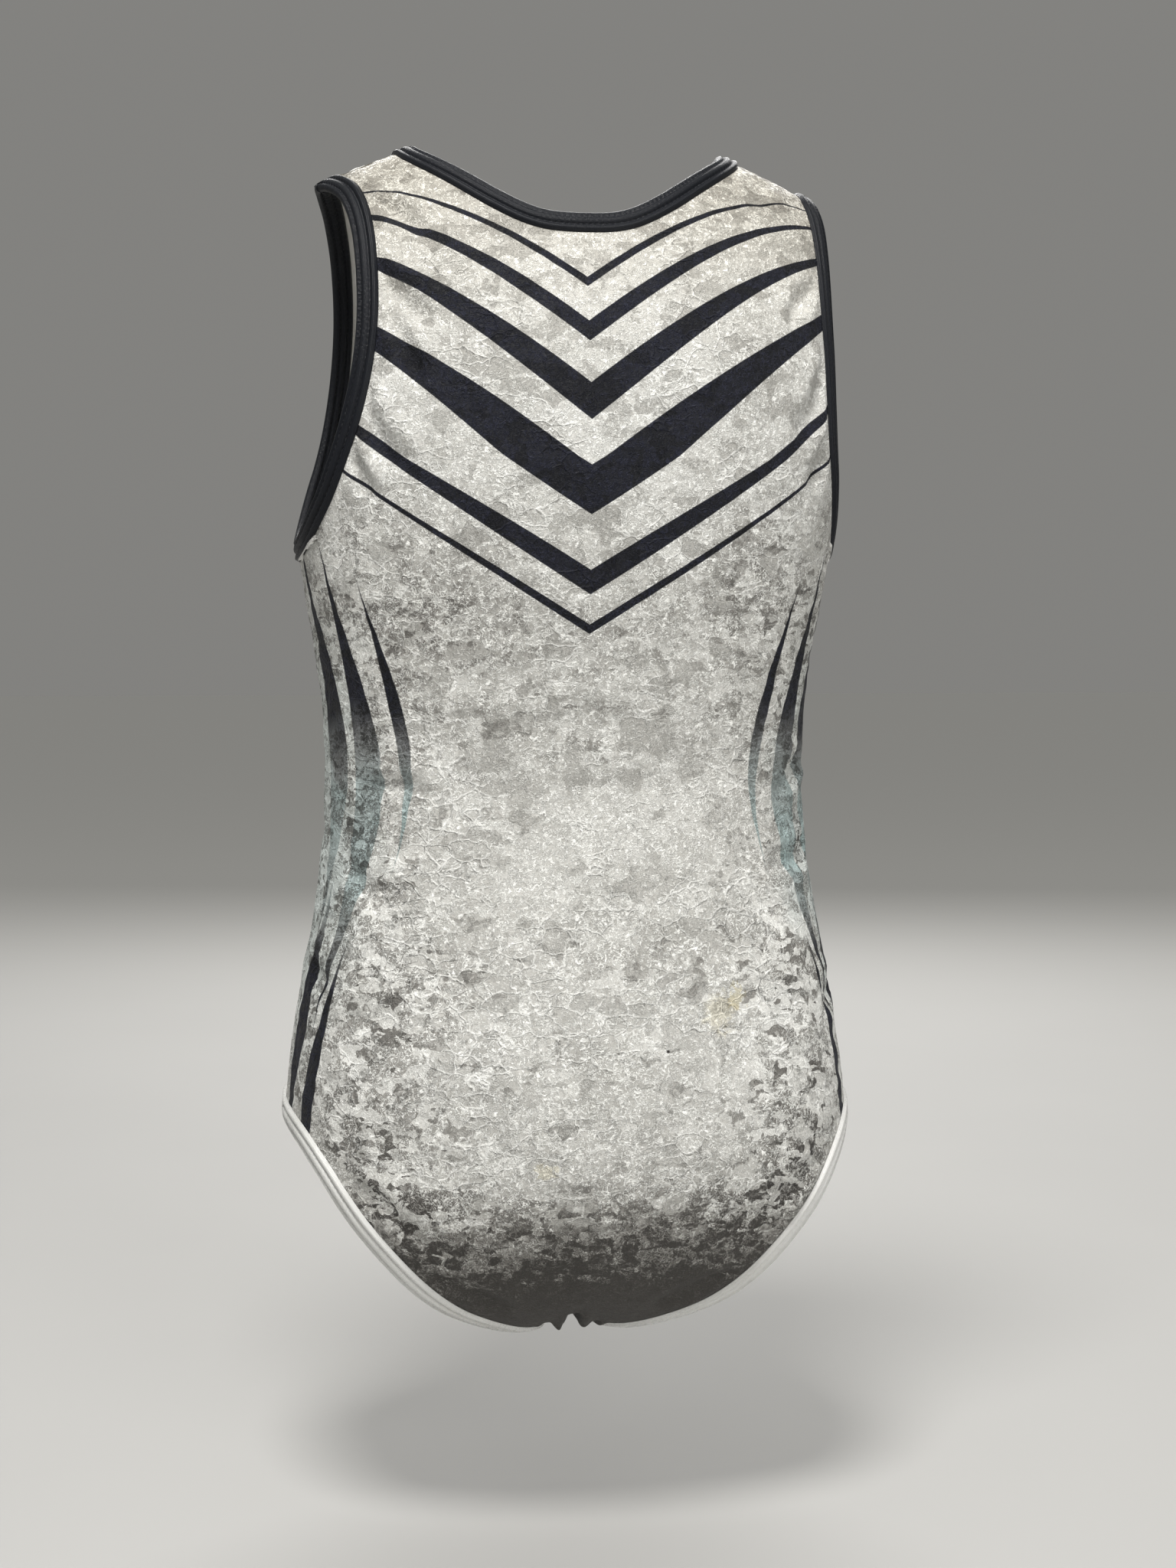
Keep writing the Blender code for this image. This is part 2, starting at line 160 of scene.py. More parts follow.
def edgeChart(edge, faceName, side, steps):
    table = np.array(edgeTables[edge, faceName])
    table[:, 0] -= side * table[:, 2]
    rows = table[:, :2]
    before = 2 * rows[0] - rows[1]
    after = 2 * rows[-1] - rows[-2]
    if edge == "neck":
        before = rows[1] * (-1, 1)
    elif edge == "armhole":
        after[1] = rows[-2, 1]
    else:
        after[0] = rows[-2, 0]
    rows = np.vstack((before, rows, after))
    fine = smoothRows(rows, np.linspace(0, len(table) - 1, 1500))
    points = formPoint(faces[faceName], fine[:, 0], fine[:, 1])
    crowd = 1 + 1.3 * np.exp(-((fine[:, 1] - bodyForm["crestDown"]) / 26.0) ** 2)
    lengths = np.linalg.norm(np.diff(points, axis=0), axis=1) * crowd[1:]
    travelled = np.concatenate(((0.0,), np.cumsum(lengths)))
    wanted = np.linspace(0, travelled[-1], steps + 1)
    return np.stack([np.interp(wanted, travelled, fine[:, k]) for k in range(2)], axis=1)


# The edge moved in over the cloth, its ends kept on the seams they start from
def insetChart(edge, faceName, chart, distance, pieces=4):
    face = faces[faceName]
    moved = chart.copy()
    for _ in range(pieces):
        alongTurn, alongDown, normal = formSlopes(face, moved[:, 0], moved[:, 1])
        points = formPoint(face, moved[:, 0], moved[:, 1])
        tangent = np.gradient(points, axis=0)
        tangent /= np.linalg.norm(tangent, axis=1, keepdims=True)
        direction = -face * np.cross(tangent, normal) * (distance / pieces)
        for k in range(len(moved)):
            slopes = np.stack((alongTurn[k], alongDown[k]), axis=1)
            moved[k] += np.linalg.lstsq(slopes, direction[k], rcond=None)[0]
        if edge == "neck":
            moved[0, 0] = 0.0
            moved[-1, 1] = chart[-1, 1]
        elif edge == "armhole":
            moved[0, 1] = chart[0, 1]
            moved[-1, 0] = 90.0
        else:
            moved[0, 0] = 90.0
            moved[-1, 1] = bodyForm["keelDown"]
    return moved


def lineChart(start, end, shares):
    return start + (end - start) * shares[:, None]


# Fill between four edge lines, as grid[column, row]
def coonsChart(top, bottom, centre, side, across):
    u = across[:, None, None]
    v = np.linspace(0, 1, len(side))[None, :, None]
    grid = (1 - v) * top[:, None] + v * bottom[:, None] + (1 - u) * centre[None] + u * side[None]
    corners = (1 - u) * (1 - v) * top[0] + u * (1 - v) * top[-1]
    return grid - corners - (1 - u) * v * bottom[0] - u * v * bottom[-1]


def edgeLines(stepsOf, faceName, side):
    lines = {}
    for edge in ("neck", "armhole", "leg"):
        chart = edgeChart(edge, faceName, side, stepsOf[edge, faceName])
        lines[edge, "cut"] = insetChart(edge, faceName, chart, panels["edgeInset"], 1)
        lines[edge, "inner"] = insetChart(edge, faceName, chart, panels["bindingReach"])
    return lines


# The back's and the front's inset edges share their ends on the seams
def meetAtSeams(back, front):
    ends = {"neck": ((-1, 0),), "armhole": ((0, 0), (-1, 1)), "leg": ((0, 1), (-1, 0))}
    for edge, places in ends.items():
        for kind in ("cut", "inner"):
            for place, axis in places:
                pair = back[edge, kind][place], front[edge, kind][place]
                shared = (pair[0][axis] + pair[1][axis]) / 2
                pair[0][axis] = shared
                pair[1][axis] = shared


def linesFor(stepsOf):
    made = {(f, s): edgeLines(stepsOf, f, sides[s]) for f in faces for s in sides}
    for s in sides:
        meetAtSeams(made["back", s], made["front", s])
    return made


def halfPanelCharts(lines):
    neck, armhole, leg = (lines[edge, "inner"] for edge in ("neck", "armhole", "leg"))
    shoulderSteps = len(neck) - 1
    across = panels["across"]
    even = np.linspace(0, 1, panels["sideSteps"] + 1)
    shoulder = lineChart(neck[-1], armhole[0], across)
    yokeLine = lineChart(neck[0], armhole[shoulderSteps], across)
    yoke = coonsChart(shoulder, yokeLine, neck[::-1], armhole[:shoulderSteps + 1], across)
    side = np.vstack((armhole[shoulderSteps:], lineChart(armhole[-1], leg[0], even)[1:], leg[1:]))
    crotch = lineChart(np.array((0.0, bodyForm["keelDown"])), leg[-1], across)
    centre = lineChart(neck[0], crotch[0], np.linspace(0, 1, len(side)))
    trunk = coonsChart(yokeLine, crotch, centre, side, across)
    charts = [yoke, trunk]
    for edge in ("neck", "armhole", "leg"):
        share = np.linspace(0, 1, panels["marginSteps"] + 1)[:, None, None]
        charts.append(lines[edge, "cut"] * (1 - share) + lines[edge, "inner"] * share)
    return charts


# Creases: start and end as (degrees round, millimetres down), half width and
# depth in millimetres, and how far the crease bows sideways. Plus is the wearer's left.
creases = {
    "back": (((47, 18), (29, 50), 3.6, 0.95, 4), ((47, 44), (27, 84), 4.4, 1.25, -5),
             ((47, 66), (31, 108), 3.4, 0.9, 5), ((50, 92), (34, 133), 4.2, 1.15, -4),
             ((55, 116), (44, 146), 3.2, 0.9, 3), ((-59, 52), (-43, 80), 3.6, 0.8, -4),
             ((-60, 82), (-42, 118), 4.2, 1.0, 5), ((-64, 112), (-50, 140), 3.4, 0.9, -3),
             ((62, 262), (30, 268), 4.0, 0.9, 6), ((66, 286), (38, 304), 4.6, 0.8, -7),
             ((-80, 250), (-48, 270), 4.2, 0.9, -6), ((-74, 284), (-44, 290), 4.4, 0.8, 6),
             ((22, 236), (-16, 240), 8.0, 0.22, 5), ((8, 258), (-30, 254), 7.0, 0.18, -5),
             ((30, 216), (10, 224), 6.0, 0.25, 4), ((-6, 110), (-24, 118), 7.0, 0.3, 3),
             ((3, 120), (24, 124), 7.0, 0.3, -4), ((40, -16), (34, 22), 6.0, 0.4, 3),
             ((-42, -14), (-38, 26), 5.0, 0.35, -3), ((52, 418), (34, 446), 4.0, 0.7, 4),
             ((-52, 416), (-36, 440), 4.0, 0.7, -4), ((36, 462), (16, 488), 4.2, 0.8, 5),
             ((-34, 466), (-14, 490), 4.0, 0.8, -5), ((2, 492), (1, 534), 3.0, 1.9, 1.5),
             ((-6, 506), (-5, 534), 2.4, 1.3, -1), ((9, 504), (7, 534), 2.6, 1.4, 1),
             ((80, 330), (62, 342), 4.0, 0.6, -4), ((-82, 344), (-60, 350), 4.2, 0.6, 4)),
    "front": (((42, 30), (26, 62), 3.6, 0.9, 4), ((44, 66), (28, 100), 4.2, 1.1, -5),
              ((50, 98), (36, 134), 3.8, 1.0, 4), ((-43, 26), (-28, 58), 3.8, 0.9, -4),
              ((-45, 62), (-26, 96), 4.2, 1.05, 5), ((-51, 100), (-38, 132), 3.6, 1.0, -4),
              ((68, 256), (34, 262), 4.4, 0.85, 6), ((70, 284), (40, 298), 4.2, 0.8, -6),
              ((-70, 252), (-36, 266), 4.4, 0.85, -6), ((-68, 290), (-40, 296), 4.4, 0.8, 6),
              ((24, 246), (-20, 250), 8.0, 0.22, 6), ((14, 110), (-12, 114), 7.0, 0.3, 4),
              ((46, 432), (26, 458), 4.0, 0.8, 5), ((-45, 430), (-25, 460), 4.0, 0.8, -5),
              ((30, 468), (10, 492), 4.0, 0.75, 4), ((-28, 470), (-9, 494), 4.0, 0.75, -4),
              ((1, 496), (0, 534), 2.8, 1.2, 1), ((8, 504), (6, 534), 2.4, 1.0, 1),
              ((-7, 506), (-5, 534), 2.4, 1.0, -1), ((38, -38), (33, 4), 5.0, 0.5, 3),
              ((-40, -36), (-36, 6), 5.0, 0.5, -3), ((80, 336), (60, 344), 4.0, 0.6, 4)),
}
relief = {
    "creaseGain": 2.9,
    "sway": (55.0, 0.55),         # size of the slow swells and their height
    "crush": (12.0, 0.9),         # the same for the sharp little ridges of the crushed cloth
    "crumb": (6.0, 0.3),
    "sidePucker": (13.0, 0.5, 10.0),   # spacing, height and reach from the side seam
    "edgePucker": (8.5, 0.42, 7.0),    # spacing, height and reach from a binding
    "legPucker": 1.5,             # the leg's edge puckers this much more
    "quietEdge": 5.0,             # creases die out this close to a binding
    "underarm": 158.0,            # the side seam begins here, measured down the cloth
}


def noiseAt(points, size, seed):
    shift = Vector((seed * 13.1, seed * 7.7, seed * 3.3))
    return np.array([noise.noise(Vector(p) / size + shift) for p in points])


def smoothStep(x):
    x = np.clip(x, 0, 1)
    return x * x * (3 - 2 * x)


def creaseDepth(faceName, across, down):
    total = np.zeros_like(across)
    face = faces[faceName]
    for start, end, width, depth, bow in creases[faceName]:
        (turn0, down0), (turn1, down1) = start, end
        first = np.array((clothAcross(face, np.array(float(turn0)), np.array(float(down0))), down0))
        last = np.array((clothAcross(face, np.array(float(turn1)), np.array(float(down1))), down1))
        along = last - first
        length = np.linalg.norm(along)
        along = along / length
        place = np.stack((across, down), axis=1) - first
        share = place @ along / length
        off = place @ np.array((-along[1], along[0])) - bow * 4 * share * (1 - share)
        swell = np.clip(1 - (2 * share - 1) ** 4, 0, 1) * smoothStep(np.minimum(share, 1 - share) * 5)
        spread = width * (0.75 + 0.5 * np.clip(share, 0, 1))
        trough = np.exp(-(off / spread) ** 2)
        ridge = np.exp(-((off - 1.9 * spread) / spread) ** 2)
        ridge = ridge + 0.6 * np.exp(-((off + 2.1 * spread) / spread) ** 2)
        total += relief["creaseGain"] * depth * swell * (0.55 * ridge - trough)
    return total


# How far each point is from a line of points, and how far along it the nearest one lies
def fromLine(points, line):
    travelled = np.concatenate(((0.0,), np.cumsum(np.linalg.norm(np.diff(line, axis=0), axis=1))))
    away, along = [], []
    for some in np.array_split(points, max(1, len(points) // 4000)):
        gaps = np.linalg.norm(some[:, None] - line[None], axis=2)
        nearest = gaps.argmin(1)
        away.append(gaps[np.arange(len(some)), nearest])
        along.append(travelled[nearest])
    return np.concatenate(away), np.concatenate(along)


def clothRelief(faceName, side, turn, down, across, points, lines):
    face = faces[faceName]
    spot = points * np.array((side, 1, 1))
    halfGirth = clothAcross(face, np.full_like(turn, 90.0), down)
    fromSide = np.abs(halfGirth - np.abs(across))
    lift = creaseDepth(faceName, across * side, down)
    edgeGap = np.full(len(points), 1e9)
    pucker = np.zeros(len(points))
    spacing, height, reach = relief["edgePucker"]
    for seed, edge in enumerate(("neck", "armhole", "leg")):
        chart = lines[edge, "inner"]
        away, along = fromLine(points, formPoint(face, chart[:, 0], chart[:, 1]))
        edgeGap = np.minimum(edgeGap, away)
        wave = noiseAt(np.stack((along, away * 0.3, 0 * away), axis=1), spacing, seed + side + 3)
        strength = height * (relief["legPucker"] if edge == "leg" else 1.0)
        pucker += strength * wave * np.exp(-(away / reach) ** 2) * smoothStep(away / 1.5)
    spacing, height, reach = relief["sidePucker"]
    wave = noiseAt(np.stack((down, fromSide * 0.35, 0 * down), axis=1), spacing, 20 + side)
    belowArm = smoothStep((down - relief["underarm"]) / 12)
    nearSeam = np.exp(-(fromSide / reach) ** 2)
    pucker += height * 1.6 * wave * nearSeam * belowArm * smoothStep(fromSide / 2)
    sway = relief["sway"][1] * noiseAt(spot, relief["sway"][0], 1)
    crush = relief["crush"][1] * (0.3 - np.abs(noiseAt(spot * (1, 1, 1.5), relief["crush"][0], 2)))
    crush *= 0.35 + 0.65 * crushAmount(across * side, down, edgeGap)
    crumb = relief["crumb"][1] * noiseAt(spot, relief["crumb"][0], 3)
    lift = (lift + sway) * smoothStep(edgeGap / relief["quietEdge"]) + pucker
    lift += (crush + crumb) * smoothStep(edgeGap / 6)
    shoulderGap = np.abs(down - (bodyForm["crestDown"] + face * panels["seamBehind"]))
    keelGap = np.abs(bodyForm["keelDown"] - down)
    for gap in (shoulderGap, keelGap, fromSide + 60 * (down < 150)):
        roll = panels["seamRoll"] * np.exp(-(gap / panels["seamRollWidth"]) ** 2)
        lift = lift * smoothStep(gap / 3.0 + 0.25) - roll * smoothStep(edgeGap / 3.0)
    return lift * smoothStep(edgeGap / 1.6), fromSide, edgeGap


# Places where the colour is darkened: partly where the pile lies dull, partly painted shade
# on the seat's underside and the flanks. Middle (across, down), half sizes, strength. Plus is the
# wearer's left.
dullAndShadePlaces = {
    "back": ((58, 182, 24, 26, 0.30), (-68, 168, 22, 20, 0.26), (-28, 327, 44, 15, 0.26),
             (62, 345, 24, 26, 0.24), (-92, 415, 24, 40, 0.28), (88, 432, 30, 30, 0.30),
             (96, 262, 20, 40, 0.16), (66, 70, 24, 20, 0.14), (-70, 96, 16, 26, 0.18),
             # (0, 492) is the strong painted shade under the seat
             (-4, 372, 24, 14, 0.16), (0, 492, 92, 50, 0.9), (-62, 452, 26, 30, 0.26)),
    "front": ((-48, 196, 30, 30, 0.30), (58, 182, 26, 28, 0.28), (24, 318, 44, 16, 0.26),
              (-64, 350, 26, 26, 0.24), (80, 408, 26, 34, 0.26), (-84, 430, 26, 28, 0.28),
              (-20, 140, 40, 12, 0.16), (10, 388, 30, 14, 0.18)),
}


# How badly the pile is crushed: little at the middle of the yoke, most at the sides and seat
def crushAmount(across, down, edgeGap):
    side = smoothStep((np.abs(across) - 30) / 75)
    low = smoothStep((down - 190) / 190)
    crushed = 0.2 + 0.62 * side * smoothStep((down - 90) / 120) + 0.34 * low
    return np.clip(crushed, 0, 1) * (0.5 + 0.5 * smoothStep(edgeGap / 9))


def pileDullnessAndShade(faceName, across, down):
    total = np.zeros_like(across)
    for middle, level, wide, high, strength in dullAndShadePlaces[faceName]:
        total += strength * np.exp(-((across - middle) / wide) ** 2 - ((down - level) / high) ** 2)
    # the straps are duller than the middle, and the flanks get painted shade
    total += 0.36 * smoothStep((75 - down) / 80)
    total += 0.12 * smoothStep((np.abs(across) - 70) / 50) * smoothStep((down - 150) / 60)
    return 0.7 * total


def deselectAll():
    for item in bpy.context.selected_objects:
        item.select_set(False)


def choose(piece):
    deselectAll()
    piece.select_set(True)
    bpy.context.view_layer.objects.active = piece


def applyModifier(piece, kind, **values):
    choose(piece)
    modifier = piece.modifiers.new(kind.title(), kind)
    for name, value in values.items():
        setattr(modifier, name, value)
    bpy.ops.object.modifier_apply(modifier=modifier.name)


# Runs an edit mode operator on the whole of the active mesh
def editWhole(operator, **values):
    bpy.ops.object.mode_set(mode="EDIT")
    bpy.ops.mesh.select_all(action="SELECT")
    operator(**values)
    bpy.ops.object.mode_set(mode="OBJECT")


# A grid primitive, with the column and the row that each of its corners stands for
def addGrid(name, columns, rows):
    deselectAll()
    bpy.ops.mesh.primitive_grid_add(x_subdivisions=columns - 1, y_subdivisions=rows - 1, size=2.0)
    piece = bpy.context.object
    piece.name = name
    spots = np.zeros(len(piece.data.vertices) * 3)
    piece.data.vertices.foreach_get("co", spots)
    spots = spots.reshape(-1, 3)
    column = np.rint((spots[:, 0] + 1) / 2 * (columns - 1)).astype(int)
    row = np.rint((spots[:, 1] + 1) / 2 * (rows - 1)).astype(int)
    return piece, column, row


# A grid whose corners are moved to points[column, row], facing the way of outward
def laySheet(name, points, outward, marks):
    piece, i, j = addGrid(name, *points.shape[:2])
    mesh = piece.data
    mesh.vertices.foreach_set("co", (points[i, j] * mm).ravel())
    mesh.update()
    for key, values in marks.items():
        kind, field = ("FLOAT", "value") if values.ndim == 2 else ("FLOAT_VECTOR", "vector")
        layer = mesh.attributes.new(key, kind, "POINT")
        layer.data.foreach_set(field, values[i, j].ravel())
    normals = np.zeros(len(mesh.polygons) * 3)
    mesh.polygons.foreach_get("normal", normals)
    first = np.array([polygon.vertices[0] for polygon in mesh.polygons])
    if np.sum(normals.reshape(-1, 3) * outward[i[first], j[first]]) < 0:
        mesh.flip_normals()
    return piece


def joinAll(pieces, name, merge=0.00001):
    deselectAll()
    for piece in pieces:
        piece.select_set(True)
    bpy.context.view_layer.objects.active = pieces[0]
    if len(pieces) > 1:
        bpy.ops.object.join()
    whole = bpy.context.object
    whole.name = name
    whole.data.name = name
    editWhole(bpy.ops.mesh.remove_doubles, threshold=merge)
    return whole


def makePanel(faceName, lines):
    face = faces[faceName]
    blocks = []
    for sideName, side in sides.items():
        sideLines = lines[faceName, sideName]
        mirror = np.array((side, 1, 1))
        for chart in halfPanelCharts(sideLines):
            shape = chart.shape[:2]
            turn, down = chart[..., 0].ravel(), chart[..., 1].ravel()
            points = formPoint(face, turn, down)
            normal = formSlopes(face, turn, down)[2]
            across = clothAcross(face, turn, down)
            lift, fromSide, edgeGap = clothRelief(faceName, side, turn, down, across, points, sideLines)
            if len(chart) == panels["marginSteps"] + 1:
                lift[:] = 0.0    # flat under a binding
            moved = (points + normal * lift[:, None]) * mirror
            outward = normal * mirror
            # pile dullness with painted shade; the colour also paints shade where the cloth faces down
            dullAndShade = pileDullnessAndShade(faceName, across * side, down)
            place = np.stack((across * side, down, fromSide), axis=1) * mm
            shadeAndFacing = np.stack((dullAndShade, np.full_like(dullAndShade, face), outward[:, 2]), axis=1)
            marks = {"clothPlace": place.reshape(*shape, 3), "clothShadeAndFacing": shadeAndFacing.reshape(*shape, 3),
                     "clothCrush": crushAmount(across, down, edgeGap).reshape(shape)}
            blocks.append(laySheet(faceName, moved.reshape(*shape, 3), outward.reshape(*shape, 3), marks))
    panel = joinAll(blocks, faceName + "_velvet")
    panel.data.materials.append(bpy.data.materials["crushedVelvet"])
    panel.data.materials.append(bpy.data.materials["knitReverse"])
    applyModifier(panel, "SOLIDIFY", thickness=panels["wall"] * mm, offset=-1.0, material_offset=1,
                  use_quality_normals=True)
    choose(panel)
    bpy.ops.object.shade_smooth_by_angle(angle=math.radians(60))
    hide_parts(faceName + "_panel")
    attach(panel, "root")
    print(panel.name, len(panel.data.polygons), "faces")
    return panel


bindings = {
    "steps": {("neck", "back"): 130, ("neck", "front"): 170, ("armhole", "back"): 220,
              ("armhole", "front"): 260, ("leg", "back"): 280, ("leg", "front"): 280},
    "radius": 1.9,            # outer radius of the fold round the cloth's edge
    "crown": 0.42,            # how much the strip swells between its stitch rows
    "tuck": 0.72,             # how deep a stitch row pulls in
    "rowsAt": (2.3, 6.1),     # the two stitch rows, measured in from the free edge
    "rowWidth": 0.62,
    # where the strip's columns lie: outside, round the fold in degrees, and on the body side
    "outside": (6.7, 6.4, 6.1, 5.8, 5.5, 5.0, 4.4, 3.7, 3.1, 2.7, 2.3),
    "fold": (72, 52, 30, 8, -14, -36, -58, -78),
    "bodySide": (2.3, 3.1, 4.2, 5.4, 6.1, 6.8, 7.8, 8.7, 9.5),
    "lining": (9.1, 5.0, 1.9),
    "liningHeight": 0.62,     # how far the strip's inner face lies from the cloth's middle
    "stitchPitch": 2.3,
    "stitchLength": 1.75,
    "threadRadius": 0.2,
    "threadSides": 6,
    "threadEnds": (-1.0, -0.86, -0.45, 0.45, 0.86, 1.0),
    "threadTaper": (0.0, 0.62, 1.0, 1.0, 0.62, 0.0),
}


def stripHeight(reach, ripple):
    height = bindings["radius"] + 0 * reach
    rows = bindings["rowsAt"]
    full = panels["bindingReach"]
    for start, end in ((0.0, rows[0]), (rows[0], rows[1]), (rows[1], full)):
        share = np.clip((reach - start) / (end - start), 0, 1)
        height = height + bindings["crown"] * np.sin(np.pi * share) * (end - start) / 3.8
    for row in rows:
        groove = np.exp(-((reach - row) / bindings["rowWidth"]) ** 2)
        height = height - bindings["tuck"] * (1 + 0.35 * ripple) * groove
    drop = smoothStep((reach - (full - 1.3)) / 1.3)
    return height * (1 - drop) + 0.7 * drop


def ringFrames(edge, runs, lines):
    frames = []
    for faceName, sideName, backward in runs:
        face, side = faces[faceName], sides[sideName]
        inner = lines[faceName, sideName][edge, "inner"]
        cut = lines[faceName, sideName][edge, "cut"]
        mirror = np.array((side, 1, 1))
        innerAt = formPoint(face, inner[:, 0], inner[:, 1])
        cutAt = formPoint(face, cut[:, 0], cut[:, 1])
        innerUp = formSlopes(face, inner[:, 0], inner[:, 1])[2]
        cutUp = formSlopes(face, cut[:, 0], cut[:, 1])[2]
        out = cutAt - innerAt
        out -= cutUp * np.sum(out * cutUp, axis=1, keepdims=True)
        out /= np.linalg.norm(out, axis=1, keepdims=True)
        rows = np.stack((innerAt, cutAt, innerUp, cutUp, out), axis=1) * mirror
        frames.append(rows[::-1] if backward else rows)
    joined = [frames[0]] + [rows[1:] for rows in frames[1:]]
    return np.concatenate(joined)


# A point of the strip: reach in from the free edge, height over the cloth's middle
def stripPoint(frames, reach, height):
    innerAt, cutAt, innerUp, cutUp = (frames[:, k] for k in range(4))
    full, radius = panels["bindingReach"], bindings["radius"]
    share = np.reshape((full - reach) / (full - radius), (-1, 1))
    up = innerUp * (1 - share) + cutUp * share
    up = up / np.linalg.norm(up, axis=1, keepdims=True)
    raised = up * np.reshape(height - panels["wall"] / 2, (-1, 1))
    return innerAt * (1 - share) + cutAt * share + raised, up


def makeBinding(name, node, edge, runs, strip, thread, slotName):
    frames = ringFrames(edge, runs, bindingLines)
    count = len(frames)
    middle = frames[:, 1] - frames[:, 3] * panels["wall"] / 2
    stepLengths = np.linalg.norm(np.diff(frames[:, 1], axis=0), axis=1)
    travelled = np.concatenate(((0.0,), np.cumsum(stepLengths)))
    turns = round(travelled[-1] / bindings["stitchPitch"])
    ripple = np.cos(2 * np.pi * travelled / travelled[-1] * turns)
    softness = noiseAt(frames[:, 1], 16.0, 5)
    full = panels["bindingReach"]
    columns, outward = [], []

    def addColumn(reach, height, way):
        points, up = stripPoint(frames, np.full(count, reach), height)
        columns.append(points)
        outward.append(way * up)

    for reach in (*np.linspace(full, 7.2, 7), *bindings["outside"]):
        height = stripHeight(np.full(count, reach), ripple) + 0.08 * softness * (reach < full - 1)
        addColumn(reach, height, 1)
    for angle in bindings["fold"]:
        bend = math.radians(angle)
        facing = math.cos(bend) * frames[:, 4] + math.sin(bend) * frames[:, 3]
        columns.append(middle + facing * (bindings["radius"] + 0.12 * math.cos(bend)))
        outward.append(facing)
    for reach in bindings["bodySide"]:
        addColumn(reach, -stripHeight(np.full(count, reach), ripple), -1)
    for way, reaches in ((1, bindings["lining"]), (-1, bindings["lining"][::-1])):
        for reach in reaches:
            addColumn(reach, np.full(count, -way * bindings["liningHeight"]), way)
    columns.append(columns[0])
    outward.append(outward[0])
    points, outward = np.stack(columns, axis=1), np.stack(outward, axis=1)
    steps = np.linalg.norm(np.diff(points, axis=1, prepend=points[:, :1]), axis=2)
    girth = np.cumsum(steps, axis=1)
    place = np.stack((travelled[:, None] + 0 * girth, girth, 0 * girth), axis=2) * mm
    ring = joinAll([laySheet(name, points, outward, {"clothPlace": place})], name)
    ring.data.materials.append(bpy.data.materials[strip])
    choose(ring)
    bpy.ops.object.shade_smooth()
    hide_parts(node)
    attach(ring, "root")
    stitches = makeStitches(name.replace("binding", "stitches"), frames, travelled, turns, thread)
    print(name, len(ring.data.polygons), "faces,", round(travelled[-1]), "mm round")
    return [ring, stitches]


# The corners of one thread: middle of the stitch, its way along, the way up and its slant
def threadRings(middle, along, lifted, slant):
    half = bindings["stitchLength"] / 2
    angles = np.linspace(0, 2 * np.pi, bindings["threadSides"] + 1)[:, None]
    wide = np.cross(lifted, along)
    rings = []
    for end, taper in zip(bindings["threadEnds"], bindings["threadTaper"]):
        core = middle + (along * half + wide * slant) * end - lifted * 0.16 * end ** 2
        ring = np.cos(angles) * wide + 0.8 * np.sin(angles) * lifted
        rings.append(core + bindings["threadRadius"] * taper * ring)
    return rings


# One short thread, copied along both rows on the outside and on the body side
def makeStitches(name, frames, travelled, turns, thread):
    half = bindings["stitchLength"] / 2
    threads = []

    def valueAt(values, place):
        return np.array([np.interp(place, travelled, values[:, axis]) for axis in range(3)])

    for row in bindings["rowsAt"]:
        for under in (1.0, -1.0):
            reach = np.full(len(frames), row)
            line, up = stripPoint(frames, reach, under * (stripHeight(reach, 0 * reach) + 0.06))
            slant = 0.16 if under > 0 else 0.3
            for k in range(turns):
                centre = (k + 0.5) / turns * travelled[-1]
                along = valueAt(line, centre + half) - valueAt(line, centre - half)
                along /= np.linalg.norm(along)
                lifted = valueAt(up * under, centre)
                lifted /= np.linalg.norm(lifted)
                way = 1 if k % 2 else -1
                threads.append(threadRings(valueAt(line, centre), along, lifted, slant * way))
    threads = np.array(threads)
    piece, i, j = addGrid(name, len(bindings["threadEnds"]), bindings["threadSides"] + 1)
    applyModifier(piece, "ARRAY", count=len(threads), use_relative_offset=False,
                  use_constant_offset=True, constant_offset_displace=(0, 0, 1), use_merge_vertices=False)
    piece.data.vertices.foreach_set("co", (threads[:, i, j] * mm).ravel())
    piece.data.update()
    whole = joinAll([piece], name, merge=0.000004)
    editWhole(bpy.ops.mesh.normals_make_consistent, inside=False)
    bpy.ops.object.shade_smooth()
    whole.data.materials.append(bpy.data.materials[thread])
    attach(whole, "root")
    return whole


# A socket given another node's output is linked, anything else is its value
def feed(tree, node, sockets):
    for name, value in sockets.items():
        if isinstance(value, bpy.types.NodeSocket):
            tree.links.new(value, node.inputs[name])
        else:
            node.inputs[name].default_value = value


def put(tree, kind, sockets=None, **settings):
    made = tree.nodes.new(kind)
    for name, value in settings.items():
        setattr(made, name, value)
    feed(tree, made, sockets or {})
    return made


def calc(tree, operation, first, second=0.0, clamp=False):
    return put(tree, "ShaderNodeMath", {0: first, 1: second}, operation=operation, use_clamp=clamp).outputs[0]


def add(tree, first, *others, clamp=False):
    for other in others:
        first = calc(tree, "ADD", first, other, clamp)
    return first


def times(tree, first, *others):
    for other in others:
        first = calc(tree, "MULTIPLY", first, other)
    return first


def minus(tree, first, second, clamp=False):
    return calc(tree, "SUBTRACT", first, second, clamp)


def unsigned(tree, value):
    return calc(tree, "ABSOLUTE", value)


def larger(tree, first, second):
    return second if first is None else calc(tree, "MAXIMUM", first, second)


# A wave over the cloth that comes back at each spacing, in metres
def weave(tree, value, spacing):
    return calc(tree, "SINE", times(tree, value, 2 * math.pi / spacing))


def vectorCalc(tree, operation, sockets, output="Vector"):
    return put(tree, "ShaderNodeVectorMath", sockets, operation=operation).outputs[output]


def ease(tree, value, low, high, toLow=0.0, toHigh=1.0):
    sockets = {"Value": value, "From Min": low, "From Max": high, "To Min": toLow, "To Max": toHigh}
    return put(tree, "ShaderNodeMapRange", sockets, interpolation_type="SMOOTHSTEP").outputs["Result"]


